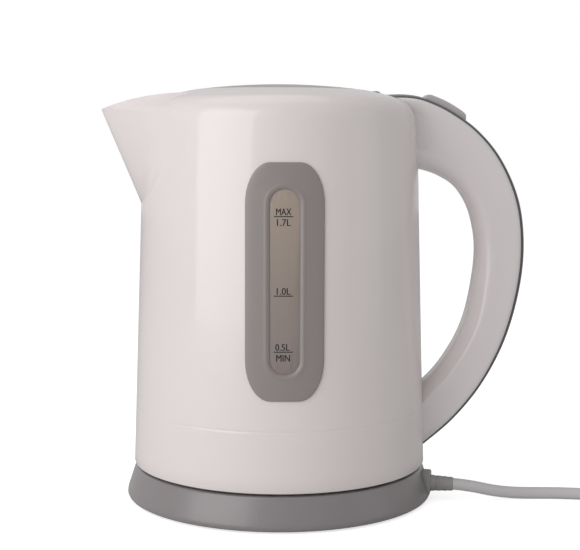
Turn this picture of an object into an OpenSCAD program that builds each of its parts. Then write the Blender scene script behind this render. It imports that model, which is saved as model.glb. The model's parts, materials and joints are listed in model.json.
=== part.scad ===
// Cordless electric kettle on a round power base, with its mains lead put away in a coil.
// Millimetres, +Z up. The origin is the centre of the base's flat underside, on the jug's axis.
// +X points to the handle, -X to the spout and -Y to the water gauge.

/* [Power base] */
// Height of the base from its underside to its top edge
base_h = 17.2; // [14:0.5:24]
// Radius of the base at its widest, near the table
base_r = 84.4; // [83:0.5:92]
// How far the base's wall draws in from its widest radius to its top edge
base_draft = 4.8; // [2:0.5:6]
// Wall of the base's shell
base_wall = 2.2; // [1.6:0.1:3]
// Depth of the round recess that the jug stands in
recess_d = 3.5; // [2.5:0.5:5]
// Thickness of the bottom plate
plate_t = 2; // [1.5:0.25:3]
// How far the rubber feet stand below the bottom plate
foot_h = 1; // [1:0.1:3]
// Diameter of a rubber foot
foot_d = 13; // [9:0.5:16]
// Number of rubber feet
foot_n = 6; // [3:1:8]
// Height of the centre post above the recess
post_h = 16; // [13:0.5:20]
// Radius of the centre post
post_r = 15; // [13:0.5:17]

/* [Jug] */
// Gap between the base's top edge and the jug's lower edge
jug_gap = 1.4; // [1:0.1:3]
// Height of the jug from its lower edge to the rim round the lid
jug_h = 203.7; // [185:1:225]
// Outer radius at the jug's lower edge
jug_foot_r = 80.5; // [77:0.5:84]
// Outer radius at the waist, where the wall starts to curve in
waist_r = 75.9; // [74:0.5:80]
// Outer radius at the neck, where the shoulder starts
neck_r = 73.6; // [70:0.2:77]
// Radius of the shoulder's round edge
shoulder_r = 14; // [10:0.5:17]
// Wall of the jug
jug_wall = 2.4; // [1.8:0.1:3.2]
// Height of the heating plate's top above the jug's lower edge
floor_h = 43.5; // [38:0.5:52]

/* [Spout] */
// Reach of the spout's tip from the jug's axis
spout_reach = 97.4; // [92:0.2:104]
// Height of the tip below the rim round the lid
spout_tip_drop = 11.6; // [8:0.2:16]
// Height of the spout, from where it leaves the wall to its tip
spout_h = 50.4; // [42:0.2:58]
// Half the width of the spout where it meets the shoulder
spout_half_w = 44; // [38:0.5:48]
// Wall of the spout
spout_wall = 2.2; // [1.6:0.1:3]

/* [Lid] */
// Radius of the lid
lid_r = 46; // [42:0.5:50]
// How far the lid's edge stands above the rim
lid_proud = 0.7; // [0:0.1:2]
// Rise of the lid's crown above its edge
lid_crown = 2.6; // [1:0.2:6]
// Angle that the lid opens to
lid_open = 80; // [60:1:85]

/* [Handle] */
// Reach of the handle from the jug's axis
grip_reach = 132.7; // [125:0.5:142]
// Depth of the grip, from the finger side to the back, at half height
grip_depth = 24.2; // [23:0.5:32]
// Width of the grip
grip_w = 26; // [22:0.5:30]
// Wall of the handle's shell
grip_wall = 2.6; // [2:0.1:3.4]
// Width of the back strip
strip_w = 21; // [18:0.5:23]

/* [Switch] */
// Length of the rocker along the handle
rocker_l = 25; // [20:0.5:28]
// Width of the rocker
rocker_w = 14; // [11:0.5:15]
// How far the rocker stands above the handle
rocker_h = 4.6; // [3:0.2:6]
// Angle that the rocker tips through
rocker_tip = 7; // [4:0.5:9]

/* [Water gauge] */
// Height of the gauge's frame
gauge_h = 118.7; // [100:0.5:124]
// Width of the gauge's frame
gauge_w = 39.5; // [34:0.5:44]
// Height of the window in the frame
window_h = 92.6; // [80:0.5:98]
// Width of the window in the frame
window_w = 15.6; // [12:0.2:18]
// How far the frame stands out from the jug's wall
gauge_proud = 1.1; // [0.6:0.1:1.6]

/* [Mains lead] */
// Diameter of the lead
cord_d = 6.4; // [5.5:0.1:7]
// Radius of the coil at the middle of its turns
coil_r = 35; // [32:0.5:40]

/* [Hidden] */
$fn = 96;

seat = 0.1;       // clearance of a piece in its seat
play = 0.3;       // clearance between pieces that move past each other
run = 0.05;       // radial clearance of a running fit
eps = 0.5;        // overshoot of a cut

function lerp(a, b, t) = a + (b - a) * t;
function unit(v) = v / norm(v);
// An arc's points: centre [r, z], radius, first and last angle, steps
function arc(c, r, a0, a1, n) = [for (i = [0:n]) c + r * [cos(lerp(a0, a1, i / n)), sin(lerp(a0, a1, i / n))]];
// A smooth curve through points p: the cubic between p[i] and p[i+1]
function bow(p0, p1, p2, p3, t) = 0.5 * ((2 * p1) + (p2 - p0) * t + (2 * p0 - 5 * p1 + 4 * p2 - p3) * t * t
    + (3 * p1 - p0 - 3 * p2 + p3) * t * t * t);
function curve(p, n) = let (m = len(p) - 1) [for (i = [0:m - 1], k = [0:n - 1])
    bow(p[max(i - 1, 0)], p[i], p[i + 1], p[min(i + 2, m)], k / n), p[m]];

// A skin over rings of equal length, closed at both ends
module skin(rings) {
    n = len(rings[0]);
    m = len(rings);
    polyhedron([for (r = rings, p = r) p], concat(
        [[for (i = [0:n - 1]) i]],
        [for (k = [0:m - 2], i = [0:n - 1])
            [k * n + i, (k + 1) * n + i, (k + 1) * n + (i + 1) % n, k * n + (i + 1) % n]],
        [[for (i = [n - 1:-1:0]) (m - 1) * n + i]]));
}
// A tube of diameter d that follows points p, with s sides
module tube(p, d, s = 10) {
    m = len(p) - 1;
    skin([for (i = [0:m]) let (t = unit(p[min(i + 1, m)] - p[max(i - 1, 0)]),
        u = unit(cross([0, 0, 1], t)), v = cross(t, u))
        [for (k = [0:s - 1]) p[i] + d / 2 * (cos(k * 360 / s) * u + sin(k * 360 / s) * v)]]);
}

// ---- heights and the jug's wall ----
table_z = -foot_h;
recess_z = base_h - recess_d;
jug_z = base_h + jug_gap;
rim_z = jug_z + jug_h;
shoulder_in = 5;          // angle of the wall where the shoulder starts
shoulder_out = 76;        // angle where the shoulder turns into the dome
dome_rise = 4.2;          // rise of the dome from the shoulder to the rim
neck_z = rim_z - dome_rise - shoulder_r * (sin(shoulder_out) - sin(shoulder_in));
waist_z = neck_z - 44;
lid_seat_r = lid_r + play;
dome_r0 = neck_r - shoulder_r * (cos(shoulder_in) - cos(shoulder_out));

// Outer radius of the wall at height z: a straight taper, and above the waist a growing curve
taper = (jug_foot_r - waist_r) / (waist_z - jug_z);
function taper_r(z) = z <= waist_z ? jug_foot_r - taper * (z - jug_z)
    : waist_r - (waist_r - neck_r) * pow((z - waist_z) / (neck_z - waist_z), 1.6);
wall_z = concat([jug_z, (jug_z + waist_z) / 2], [for (i = [0:4]) lerp(waist_z, neck_z, i / 4)]);
wall_table = [for (z = wall_z) [z, taper_r(z)]];
// Radius of the wall as it is built, which is straight between the heights above
function wall_r(z) = lookup(z, wall_table);
// Outline of the jug from its foot to the lid's seat, moved out by d
function jug_line(d) = concat([for (i = [0:len(wall_z) - 2]) [wall_r(wall_z[i]) + d, wall_z[i]]],
    arc([neck_r - shoulder_r * cos(shoulder_in), neck_z - shoulder_r * sin(shoulder_in)],
        shoulder_r + d, shoulder_in, shoulder_out, 8),
    [[lerp(dome_r0, lid_seat_r, 0.5), rim_z - dome_rise * 0.43 + d], [lid_seat_r, rim_z + d]]);
// The jug as a filled solid, moved out by d
module jug_solid(d = 0) rotate_extrude() polygon(concat([[0, jug_z]], jug_line(d), [[0, rim_z + d]]));
// A shell that follows the jug's wall between the offsets a and b, from z0 to z1
module wall_shell(a, b, z0, z1) {
    zs = concat([z0], [for (z = wall_z) if (z > z0 && z < z1) z], [z1]);
    rotate_extrude() polygon(concat([for (z = zs) [wall_r(z) + b, z]],
        [for (i = [len(zs) - 1:-1:0]) [wall_r(zs[i]) + a, zs[i]]]));
}

/* ---------------------------------------------------------------- power base */
lip_r = base_r - base_draft;             // top edge of the base
recess_r = lip_r - 3.6;                  // wall of the recess
plate_r = base_r - base_wall - 1.4;      // bottom plate inside the shell
screw_ring = 56;                         // radius of the circle of base screws
screw_n = 4;
boss_r = 4;
cord_az = -13.3;                           // direction in which the lead leaves
exit_z = 8;                            // height of the lead where it leaves
relief_w = 11;
relief_t = 12.4;
relief_z = plate_t + seat + relief_t / 2;   // middle height of the relief's block
hub_r = post_r + 7;                      // raised ring round the post

module base_shell() {
    outside = [[base_r - 1.6, 0], [base_r - 0.5, 0.4], [base_r, 1.4], [base_r - 0.2, 3.2],
        [lip_r + 0.45, base_h - 1.3], [lip_r, base_h - 0.4], [lip_r - 0.8, base_h],
        [recess_r + 0.9, base_h], [recess_r + 0.3, base_h - 0.5], [recess_r, recess_z],
        [hub_r + 0.6, recess_z], [hub_r, recess_z + 2.4], [hub_r - 0.8, recess_z + 3],
        [post_r + 2.2, recess_z + 3], [post_r + seat, recess_z + 2.4]];
    inside = [[post_r + seat, recess_z - base_wall], [recess_r + 1.2 - base_wall, recess_z - base_wall],
        [lip_r - base_wall, base_h - base_wall - 0.6],
        [base_r - base_wall - 0.2, plate_t + 1.4], [base_r - base_wall - 0.4, 0]];
    color("#8a8787") difference() {
        union() {
            rotate_extrude() polygon(concat(outside, inside));
            for (i = [0:screw_n - 1]) rotate(45 + i * 360 / screw_n)
                translate([screw_ring, 0, plate_t]) cylinder(r = boss_r, h = recess_z - base_wall - plate_t + eps);
        }
        for (i = [0:screw_n - 1]) rotate(45 + i * 360 / screw_n)
            translate([screw_ring, 0, plate_t - eps]) cylinder(r = 1.3, h = 7);
        rotate(cord_az) translate([base_r - 6 - seat, -relief_w / 2 - seat, relief_z - relief_t / 2 - seat])
            cube([16, relief_w + 2 * seat, relief_t + 2 * seat]);
    }
}

module base_plate() color("#7d7a7a") difference() {
    union() {
        cylinder(r = plate_r, h = plate_t);
        difference() {
            translate([0, 0, plate_t - eps]) cylinder(r = plate_r - 4, h = 3);
            translate([0, 0, plate_t - 2 * eps]) cylinder(r = plate_r - 5.6, h = 5);
            rotate(cord_az) translate([plate_r - 12, -12, plate_t]) cube([14, 24, 6]);
        }
    }
    for (i = [0:screw_n - 1]) rotate(45 + i * 360 / screw_n) translate([screw_ring, 0, -eps]) {
        cylinder(r = 1.8, h = plate_t + 2 * eps);
        cylinder(r = 3.6, h = eps + 1);
    }
    for (i = [0:foot_n - 1]) rotate(3 + i * 360 / foot_n)
        translate([foot_ring, 0, -eps]) cylinder(d = foot_d + 2 * seat, h = eps + foot_seat);
}

foot_seat = 1;                               // depth of a foot's seat in the plate
foot_ring = plate_r - foot_d / 2 - 1;
module base_feet() color("#3a3a3a") for (i = [0:foot_n - 1]) rotate(3 + i * 360 / foot_n)
    translate([foot_ring, 0, 0]) {
        translate([0, 0, -foot_h + 0.4]) cylinder(d = foot_d, h = foot_h + foot_seat - 0.4);
        translate([0, 0, -foot_h]) cylinder(d1 = foot_d - 0.8, d2 = foot_d, h = 0.4);
    }

// A pan-head screw with its seat at z = 0 and its shank upwards
module screw(head_d, shank_d, l) {
    difference() {
        translate([0, 0, -shank_d * 0.55]) cylinder(d = head_d, h = shank_d * 0.55);
        for (a = [0, 90]) rotate(a) translate([-head_d / 3, -0.35, -shank_d * 0.55 - eps])
            cube([head_d / 1.5, 0.7, eps + 0.8]);
    }
    cylinder(d = shank_d, h = l);
}
module base_screws() color("silver") for (i = [0:screw_n - 1]) rotate(45 + i * 360 / screw_n)
    translate([screw_ring, 0, 1]) rotate(20 * i) screw(6.2, 2.4, 7);

post_z = recess_z + post_h;
module base_post() color("#2b2b2b") difference() {
    union() {
        translate([0, 0, plate_t + seat]) cylinder(r = post_r + 3, h = recess_z - base_wall - plate_t - 2 * seat);
        translate([0, 0, plate_t + 1]) cylinder(r = post_r, h = post_z - plate_t - 2);
        translate([0, 0, post_z - 1]) cylinder(r1 = post_r, r2 = post_r - 1, h = 1);
    }
    translate([0, 0, recess_z - 2]) cylinder(r = 2.6, h = post_h + 4);
    for (r = [5.4, 9.6]) translate([0, 0, recess_z]) difference() {
        cylinder(r = r + 1.9, h = post_h + 2);
        translate([0, 0, -1]) cylinder(r = r, h = post_h + 4);
    }
}
module post_contacts() color("#c9a13b") {
    for (r = [5.4, 9.6]) translate([0, 0, recess_z + seat]) difference() {
        cylinder(r = r + 0.8, h = post_h - 4);
        translate([0, 0, -1]) cylinder(r = r + seat, h = post_h);
    }
    translate([0, 0, recess_z - 2 + seat]) cylinder(r = 1.1, h = post_h - 4);
}

/* ---------------------------------------------------------------- mains lead */
relief_out = 13;                         // how far the relief's sleeve reaches out of the base
// The lead's route from the clamp, straight through the relief, and laid down on the table to the coil
cord_route = [[54.5, -12.9, 8], [65, -15.4, 8], [75, -17.7, 8], [85.6, -20.2, 8], [95, -22.45, 8], [101, -23.7, 7.6],
    [107, -24.1, 6.7], [114, -23.6, 5.1], [122, -22.3, 3.6], [131, -20.9, 2.6], [141, -20, 2.2], [154, -20.3, 2.2],
    [167, -22, 2.2], [180, -24.6, 2.3], [198, -27.8, 2.8], [216, -29, 3.2]];
// From the coil's top turn down to the plug
tail_route = [[251, 6, 8.7], [251, 12, 8.4], [251, 19, 7.9], [251, 27, 7.8], [251, 35, 9.3], [251, 42, 11.7],
    [251, 48, 13.5], [251, 54, 14.2]];
coil_c = [216, 6];
plug_c = [251, 54, 14.2];

module cord_relief() color("#55524f") rotate(cord_az) translate([0, 0, exit_z]) rotate([0, 90, 0]) difference() {
    union() {
        translate([exit_z - relief_z - relief_t / 2, -relief_w / 2, base_r - 6]) cube([relief_t, relief_w, 8.6]);
        translate([0, 0, base_r + 2]) cylinder(d1 = cord_d + 3.4, d2 = cord_d + 1.2, h = relief_out - 2);
        // flange that holds the relief behind the wall
        translate([exit_z - recess_z + base_wall + 0.4, -relief_w / 2 - 2, base_r - 8.4])
            cube([recess_z - base_wall - 0.4 - plate_t - seat, relief_w + 4, 2.3 + eps]);
    }
    translate([0, 0, base_r - 20]) cylinder(d = cord_d + 0.04, h = 50);
    for (a = [0, 180], k = [0:2]) rotate(a) translate([cord_d / 2 + 0.7, -8, base_r + 4.6 + 3.6 * k])
        cube([4, 16, 1.2]);
}
module cord_clamp() color("#2b2b2b") rotate(cord_az) translate([base_r - 26, 0, 0]) difference() {
    union() {
        translate([0, -9, plate_t + seat]) cube([6, 18, 7]);
        for (y = [-6.8, 6.8]) translate([3, y, plate_t + 6]) cylinder(d = 3.6, h = 2.4);
    }
    translate([-1, 0, exit_z]) rotate([0, 90, 0]) cylinder(d = cord_d + 0.04, h = 10);
}
module cord_run() color("#b9b6b6") tube(curve(cord_route, 2), cord_d);
tie_t = 0.8;                             // strap of the tie, which runs under the coil
coil_lift = tie_t + 0.2;
// Two laps side by side, and the end of the lead on top in the groove between them
module cord_coil() color("#b9b6b6") translate([coil_c.x, coil_c.y, table_z + coil_lift]) {
    rotate_extrude() translate([coil_r, 0]) hull() for (x = [-0.5, 0.5])
        translate([x * cord_d, cord_d / 2]) circle(d = cord_d, $fn = 16);
    rotate(-150) rotate_extrude(angle = 150) translate([coil_r, 1.44 * cord_d]) circle(d = cord_d, $fn = 16);
}
module cord_tail() color("#b9b6b6") tube(curve(tail_route, 2), cord_d);
module coil_tie() color("#222222") translate([coil_c.x, coil_c.y, table_z]) rotate(250)
    translate([coil_r, -3, 0]) rotate([90, 0, 0]) translate([0, 0, -6]) linear_extrude(6) difference() {
        translate([-cord_d - 1.2, 0.1]) square([2 * cord_d + 2.4, 1.87 * cord_d + 2 * tie_t + 0.2]);
        translate([-cord_d - 0.4, tie_t + 0.1]) square([2 * cord_d + 0.8, 1.87 * cord_d + 0.2]);
    }
module plug_body() color("#c4c1c1") translate(plug_c) rotate([-90, 0, 0]) {
    cylinder(d1 = cord_d + 3, d2 = 17, h = 22);
    translate([0, 0, 22]) cylinder(d = 30, h = 12);
}
module plug_pins() color("silver") translate(plug_c) for (x = [-9.5, 9.5])
    translate([x, 34, 0]) rotate([-90, 0, 0]) cylinder(d = 4.8, h = 19);

base_shell();
base_plate();
base_feet();
base_screws();
base_post();
post_contacts();
cord_relief();
cord_clamp();
cord_run();
cord_coil();
cord_tail();
coil_tie();
plug_body();
plug_pins();

/* ---------------------------------------------------------------- socket, turns under the jug */
floor_z = jug_z + floor_h;               // top of the heating plate
cover_z = jug_z + 6;                     // underside of the jug's bottom cover
cover_t = 2.2;
bore_r = post_r + 4.5;                   // bore in the cover that the socket turns in
socket_top = post_z + 3.6;

module socket_ring() color("#2b2b2b") difference() {
    union() {
        translate([0, 0, recess_z + 4]) cylinder(r = bore_r - run, h = socket_top - recess_z - 5);
        translate([0, 0, post_z + 0.6]) cylinder(r = bore_r + 2.6, h = 3);
    }
    translate([0, 0, recess_z + 3]) cylinder(r = post_r + play, h = post_h - 3 + play);
}
module socket_contacts() color("#c9a13b") for (r = [5.4, 9.6]) translate([0, 0, recess_z + 5]) difference() {
    cylinder(r = r + 1.55, h = post_h - 5 + play);
    translate([0, 0, -1]) cylinder(r = r + 1.15, h = post_h);
}

/* ---------------------------------------------------------------- jug */
flange_r = jug_foot_r - 20.5;                           // opening of the flange over the plate
flange_t = 2.4;
flange_z = floor_z - 2.2;                // underside of the flange
seal_t = 1.5;
plate_t2 = 1.2;                          // sheet of the heating plate
plate_rim_r = flange_r + 8;
lid_t = 3;                               // height of the lid's edge
ledge_z = rim_z + lid_proud - lid_t - play;
mouth_r = lid_r - 3;
post_ring = flange_r + 12.5;                        // radius of the circle of cover screws
cover_screw_n = 3;
hinge_x = lid_r + 5.5;
hinge_z = rim_z - 3.6;
hinge_w = 18;
lid_pin_r = 1.25;
duct_z = neck_z - 7;
duct_r = 4;
lead_z = jug_z + 33;                     // hole for the switch leads, under the plate
lead_d = 3.6;
low_screw_z = jug_z + 24;
top_screw_z = neck_z - 19;

// Spout: a hollow beak that grows out of the wall, open on top behind its curved lip
tip_z = rim_z - spout_tip_drop + 0.6;
root_z = tip_z - spout_h;
root_r = 45;
lean = (spout_reach - wall_r(root_z)) / spout_h;
nose_r = 3;
lip_curve = 137;
// The beak as a solid whose walls lie d inside the outside
module beak(d) hull() {
    translate([-wall_r(root_z) + root_r + 1.1, 0, root_z - 2 + 2 * d]) cylinder(r = root_r - d, h = 1, $fn = 48);
    for (z = [tip_z - 2, tip_z + 14])
        translate([-spout_reach - (z - tip_z) * lean + nose_r, 0, z]) cylinder(r = nose_r - d, h = 0.5, $fn = 20);
    for (s = [-1, 1]) translate([-55, s * (spout_half_w - nose_r), tip_z - 2])
        cylinder(r = nose_r - d, h = rim_z - tip_z + 6, $fn = 20);
}
module spout() difference() {
    intersection() {
        beak(0);
        translate([-50, 0, tip_z - sqrt(pow(lip_curve, 2) - pow(spout_reach - 50, 2))])
            rotate([90, 0, 0]) cylinder(r = lip_curve, h = 120, center = true);
    }
    jug_solid(-jug_wall / 2);
}
module spout_channel() difference() {
    beak(spout_wall);
    jug_solid(0);
}
// Outline of the pouring window in the wall, grown by d, as [y, z]
function pour_line(d) = let (b = root_z + 12 - d)
    [[-9 - d, b], [9 + d, b], [17 + d, b + 12], [21 + d, b + 22], [21 + d, b + 26 + 2 * d],
    [-21 - d, b + 26 + 2 * d], [-21 - d, b + 22], [-17 - d, b + 12]];
module pour_prism(d) translate([-60, 0, 0]) rotate([90, 0, -90]) linear_extrude(30)
    polygon([for (p = pour_line(d)) [-p.x, p.y]]);

// Rounded outline of width w and height h with corners a wide and b high
function pill(w, h, a, b, n = 8) = [for (q = [0:3], i = [0:n]) let (t = q * 90 + i * 90 / n,
    s = [cos(t), sin(t)]) [sign(cos(q * 90 + 45)) * (w / 2 - a) + a * s.x,
    sign(sin(q * 90 + 45)) * (h / 2 - b) + b * s.y]];
gauge_z = jug_z + 106.4;
slot_w = window_w + 5;
slot_h = window_h + 8;
module gauge_prism(w, h, a, b) translate([0, -60, gauge_z]) rotate([90, 0, 0])
    linear_extrude(30) polygon(pill(w, h, a, b));
module slot_prism(d) gauge_prism(slot_w + 2 * d, slot_h + 2 * d, slot_w / 2 + d - 0.01, slot_w / 2 + d - 0.01);
module window_prism(d) gauge_prism(window_w + 2 * d, window_h + 2 * d,
    window_w / 2 + d - 0.01, window_w / 2 + d - 0.01);
gauge_lo = gauge_z - gauge_h / 2 - 4;
gauge_hi = gauge_z + gauge_h / 2 + 4;

module jug_body() color("#e9e2e1") difference() {
    union() {
        rotate_extrude() polygon(concat(jug_line(0),
            [[lid_seat_r, ledge_z], [mouth_r, ledge_z], [mouth_r, ledge_z - 2.2], [lid_seat_r + 1.6, ledge_z - 2.2]],
            [for (p = arc([neck_r - shoulder_r * cos(shoulder_in), neck_z - shoulder_r * sin(shoulder_in)],
                shoulder_r - jug_wall, shoulder_out, shoulder_in, 6)) p],
            [for (i = [len(wall_z) - 2:-1:1]) [wall_r(wall_z[i]) - jug_wall, wall_z[i]]],
            [[wall_r(flange_z + flange_t) - jug_wall, flange_z + flange_t]],
            [[flange_r + 0.4, flange_z + flange_t], [flange_r, flange_z + flange_t - 0.4], [flange_r, flange_z],
            [wall_r(flange_z) - jug_wall, flange_z], [jug_foot_r - jug_wall, jug_z + 1], [jug_foot_r - 1.6, jug_z]]));
        spout();
        // posts for the cover's screws, and bosses for the plate's
        for (i = [0:cover_screw_n - 1]) rotate(60 + i * 120) {
            translate([post_ring, 0, cover_z + cover_t]) cylinder(r = 4, h = flange_z - cover_z - cover_t + eps);
            translate([post_ring + 2, -1, cover_z + cover_t + 4]) cube([4.4, 2, flange_z - cover_z - 8]);
            rotate(60) translate([post_ring - 1, 0, flange_z - seal_t]) cylinder(r = 4, h = seal_t + eps);
        }
        // block under the lid's hinge
        translate([mouth_r + 1.5, -hinge_w / 2 - 3.6, hinge_z - 5.8]) cube([13, hinge_w + 7.2, 5]);
    }
    spout_channel();
    intersection() {
        pour_prism(0);
        jug_solid(seat);
    }
    slot_prism(0);
    for (i = [0:cover_screw_n - 1]) rotate(60 + i * 120) {
        translate([post_ring, 0, cover_z]) cylinder(r = 1.3, h = 12);
        rotate(60) translate([post_ring - 1, 0, flange_z - seal_t - 1]) cylinder(r = 1.3, h = 3.4);
    }
    // hinge pocket and the pin's bore
    translate([mouth_r - 1, -hinge_w / 2 - play, hinge_z - 3.4]) cube([hinge_x - mouth_r + 4.7, hinge_w + 2 * play, 14]);
    translate([hinge_x, 0, hinge_z]) rotate([90, 0, 0]) cylinder(r = lid_pin_r + 0.03, h = hinge_w + 7, center = true);
    translate([wall_r(duct_z) - 7, 0, duct_z]) rotate([0, 90, 0]) cylinder(r = duct_r + 0.05, h = 14);
    translate([wall_r(lead_z) - 8, 0, lead_z]) rotate([0, 90, 0]) cylinder(d = lead_d + 1.6, h = 14);
    for (z = [low_screw_z, top_screw_z]) translate([wall_r(z) - 12, 0, z]) rotate([0, 90, 0]) cylinder(r = 1.4, h = 20);
}

cover_r = wall_r(cover_z) - jug_wall - seat - 0.2;
ring_r = recess_r - 7;                   // ring of the cover that the jug stands on
module bottom_cover() color("#d9d4d3") difference() {
    rotate_extrude() polygon([[bore_r, cover_z - 2], [bore_r + 2.4, cover_z - 2], [bore_r + 2.4, cover_z],
        [ring_r - 3, cover_z], [ring_r - 2.6, recess_z + play], [ring_r - 0.4, recess_z + play], [ring_r, cover_z],
        [cover_r - 1, cover_z], [cover_r, cover_z + 1], [cover_r - 0.3, cover_z + 6], [cover_r - 1.8, cover_z + 6],
        [cover_r - 2, cover_z + cover_t], [bore_r + 2.4, cover_z + cover_t], [bore_r + 2.4, post_z + play],
        [bore_r, post_z + play]]);
    for (i = [0:cover_screw_n - 1]) rotate(60 + i * 120) translate([post_ring, 0, cover_z - eps]) {
        cylinder(r = 1.7, h = cover_t + 2 * eps);
        cylinder(r = 3.4, h = eps + 1);
        translate([0, 0, cover_t + eps]) cylinder(r = 4 + seat, h = 6);
    }
    // vents over the switch gear
    for (i = [0:11]) rotate(15 + i * 30) translate([34, -1.2, cover_z - 1]) cube([14, 2.4, cover_t + 2]);
}
module cover_screws() color("silver") for (i = [0:cover_screw_n - 1]) rotate(60 + i * 120)
    translate([post_ring, 0, cover_z + 1]) rotate(25 * i) screw(6, 2.4, 11);

module heating_plate() color("silver") difference() {
    union() {
        rotate_extrude() polygon([[0, floor_z], [flange_r - 3, floor_z], [flange_r - 1, floor_z - 1],
            [flange_r - 0.8, flange_z - seal_t], [plate_rim_r, flange_z - seal_t],
            [plate_rim_r, flange_z - seal_t - plate_t2], [flange_r - 2, flange_z - seal_t - plate_t2],
            [flange_r - 2.2, floor_z - 1.6], [flange_r - 3.4, floor_z - plate_t2], [0, floor_z - plate_t2]]);
        for (i = [0:2]) rotate(120 + i * 120) translate([0, 0, flange_z - seal_t - plate_t2])
            linear_extrude(plate_t2) difference() {
                union() {
                    translate([post_ring - 1, 0]) circle(r = 4);
                    translate([plate_rim_r - 2, -4]) square([post_ring + 1 - plate_rim_r, 8]);
                }
            }
    }
    for (i = [0:2]) rotate(120 + i * 120) translate([post_ring - 1, 0, flange_z - seal_t - 2 * plate_t2])
        cylinder(r = 1.6, h = 3 * plate_t2);
}
module plate_seal() color("#c9c4c0") rotate_extrude() polygon([[flange_r + 0.6, flange_z - seal_t],
    [plate_rim_r - 0.6, flange_z - seal_t], [plate_rim_r - 0.6, flange_z], [flange_r + 0.6, flange_z]]);
element_z = floor_z - plate_t2;
module heating_element() color("#9a9a9c") {
    translate([0, 0, element_z - 3.2]) cylinder(r = 50, h = 3.2);
    translate([0, 0, element_z - 5.6]) rotate(-60) rotate_extrude(angle = 300) translate([41, 0]) circle(r = 3.2, $fn = 32);
    for (a = [-56, 236]) rotate(a) translate([41, 0, element_z - 5.6 - 11]) cylinder(r = 1.6, h = 11);
}
control_z = socket_top + 0.4;
control_r = 25;
module thermostat() color("#e8e4da") {
    difference() {
        translate([0, 0, control_z]) cylinder(r = control_r, h = 15);
        for (a = [30, 150, 270]) rotate(a) translate([control_r - 4, 0, control_z - 1]) cylinder(r = 4.4, h = 17);
        for (s = [-1, 1]) translate([s * 14 - 5, -12, control_z + 11]) cube([10, 24, 5]);
    }
    for (a = [90, 210, 330]) rotate(a) translate([control_r - 5, 0, control_z + 14.5])
        cylinder(r = 3.4, h = element_z - 3.2 - control_z - 14.5);
}
module thermostat_screws() color("silver") for (i = [0:2]) rotate(120 + i * 120)
    translate([post_ring - 1, 0, flange_z - seal_t - plate_t2]) rotate(15 * i) screw(6, 2.4, 3.4);

/* ---------------------------------------------------------------- gauge and filter */
module gauge_frame() color("#8b8880") {
    difference() {
        union() {
            intersection() {
                wall_shell(0.05, gauge_proud, gauge_lo, gauge_hi);
                gauge_prism(gauge_w, gauge_h, 12.4, 22);
            }
            intersection() {
                wall_shell(-jug_wall, 0.4, gauge_lo, gauge_hi);
                slot_prism(-seat);
            }
        }
        window_prism(0);
    }
}
module gauge_window() color("#a99f92") {
    intersection() {
        wall_shell(-jug_wall - 2.5, 0, gauge_lo, gauge_hi);
        window_prism(-seat / 2);
    }
    intersection() {
        wall_shell(-jug_wall - 2.6, -jug_wall - 1, gauge_lo, gauge_hi);
        slot_prism(3);
    }
}
module gauge_seal() color("#d8d4d0") intersection() {
    wall_shell(-jug_wall - 0.96, -jug_wall - 0.04, gauge_lo, gauge_hi);
    difference() {
        slot_prism(3);
        slot_prism(0.2);
    }
}
filter_lo = root_z + 4;
filter_hi = root_z + 43;
module spout_filter() color("#d9d4d3") intersection() {
    wall_shell(-jug_wall - 2.2, -jug_wall - seat, filter_lo, filter_hi);
    union() {
        difference() {
            pour_prism(3.4);
            pour_prism(-1);
        }
        for (y = [-8, 8]) translate([-90, y - 0.7, filter_lo]) cube([40, 1.4, filter_hi - filter_lo]);
    }
}
module filter_mesh() color("#c8c8c8") intersection() {
    wall_shell(-jug_wall - seat, -jug_wall + 0.4, filter_lo, filter_hi);
    pour_prism(-seat);
}

/* ---------------------------------------------------------------- handle */
function grip_z(t) = lerp(jug_z, neck_z, t);
grip_in = grip_reach - grip_depth;
// Radius that the handle's reach is counted from, which follows the jug's foot at the lower end
foot_flare = 6.9;
function root_x(t) = neck_r + (jug_foot_r - neck_r - foot_flare) * (1 - t);
// Back and finger side of the handle, top to bottom: [share of the reach past the neck, share of the height]
back_line = [for (p = [[-0.281, 1.067], [-0.095, 1.068], [0.0745, 1.0585], [0.308, 1.0254], [0.565, 0.9677],
    [0.782, 0.8854], [0.944, 0.7716], [1, 0.647], [0.9695, 0.514], [0.849, 0.366], [0.646, 0.235],
    [0.386, 0.13], [0.1, 0.05], [-0.061, 0.01]]) [lerp(root_x(p.y), grip_reach, p.x), grip_z(p.y)]];
finger_line = [for (p = [[-0.332, 0.861], [-0.046, 0.862], [0.166, 0.8566], [0.41, 0.84], [0.662, 0.8085],
    [0.857, 0.7534], [0.963, 0.687], [1, 0.623], [0.9685, 0.546], [0.868, 0.4457], [0.708, 0.365],
    [0.447, 0.2853], [0.209, 0.234], [-0.103, 0.177]]) [lerp(root_x(p.y), grip_in, p.x), grip_z(p.y)]];
back_curve = curve(back_line, 2);
finger_curve = curve(finger_line, 2);
stations = len(back_curve) - 1;
edge_r = 9;                              // rounding of the finger side
ledge_d = 2.4;                           // depth of the strip's seat
strip_crown = 1.8;

// Point of the handle at station i, n out from the finger side and y across
function on_grip(i, n, y) = let (a = finger_curve[i], d = unit(back_curve[i] - a), p = a + n * d) [p.x, y, p.y];
function grip_t(i) = norm(back_curve[i] - finger_curve[i]);
function both_sides(h) = concat(h, [for (i = [len(h) - 1:-1:0]) [h[i].x, -h[i].y]]);
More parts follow.
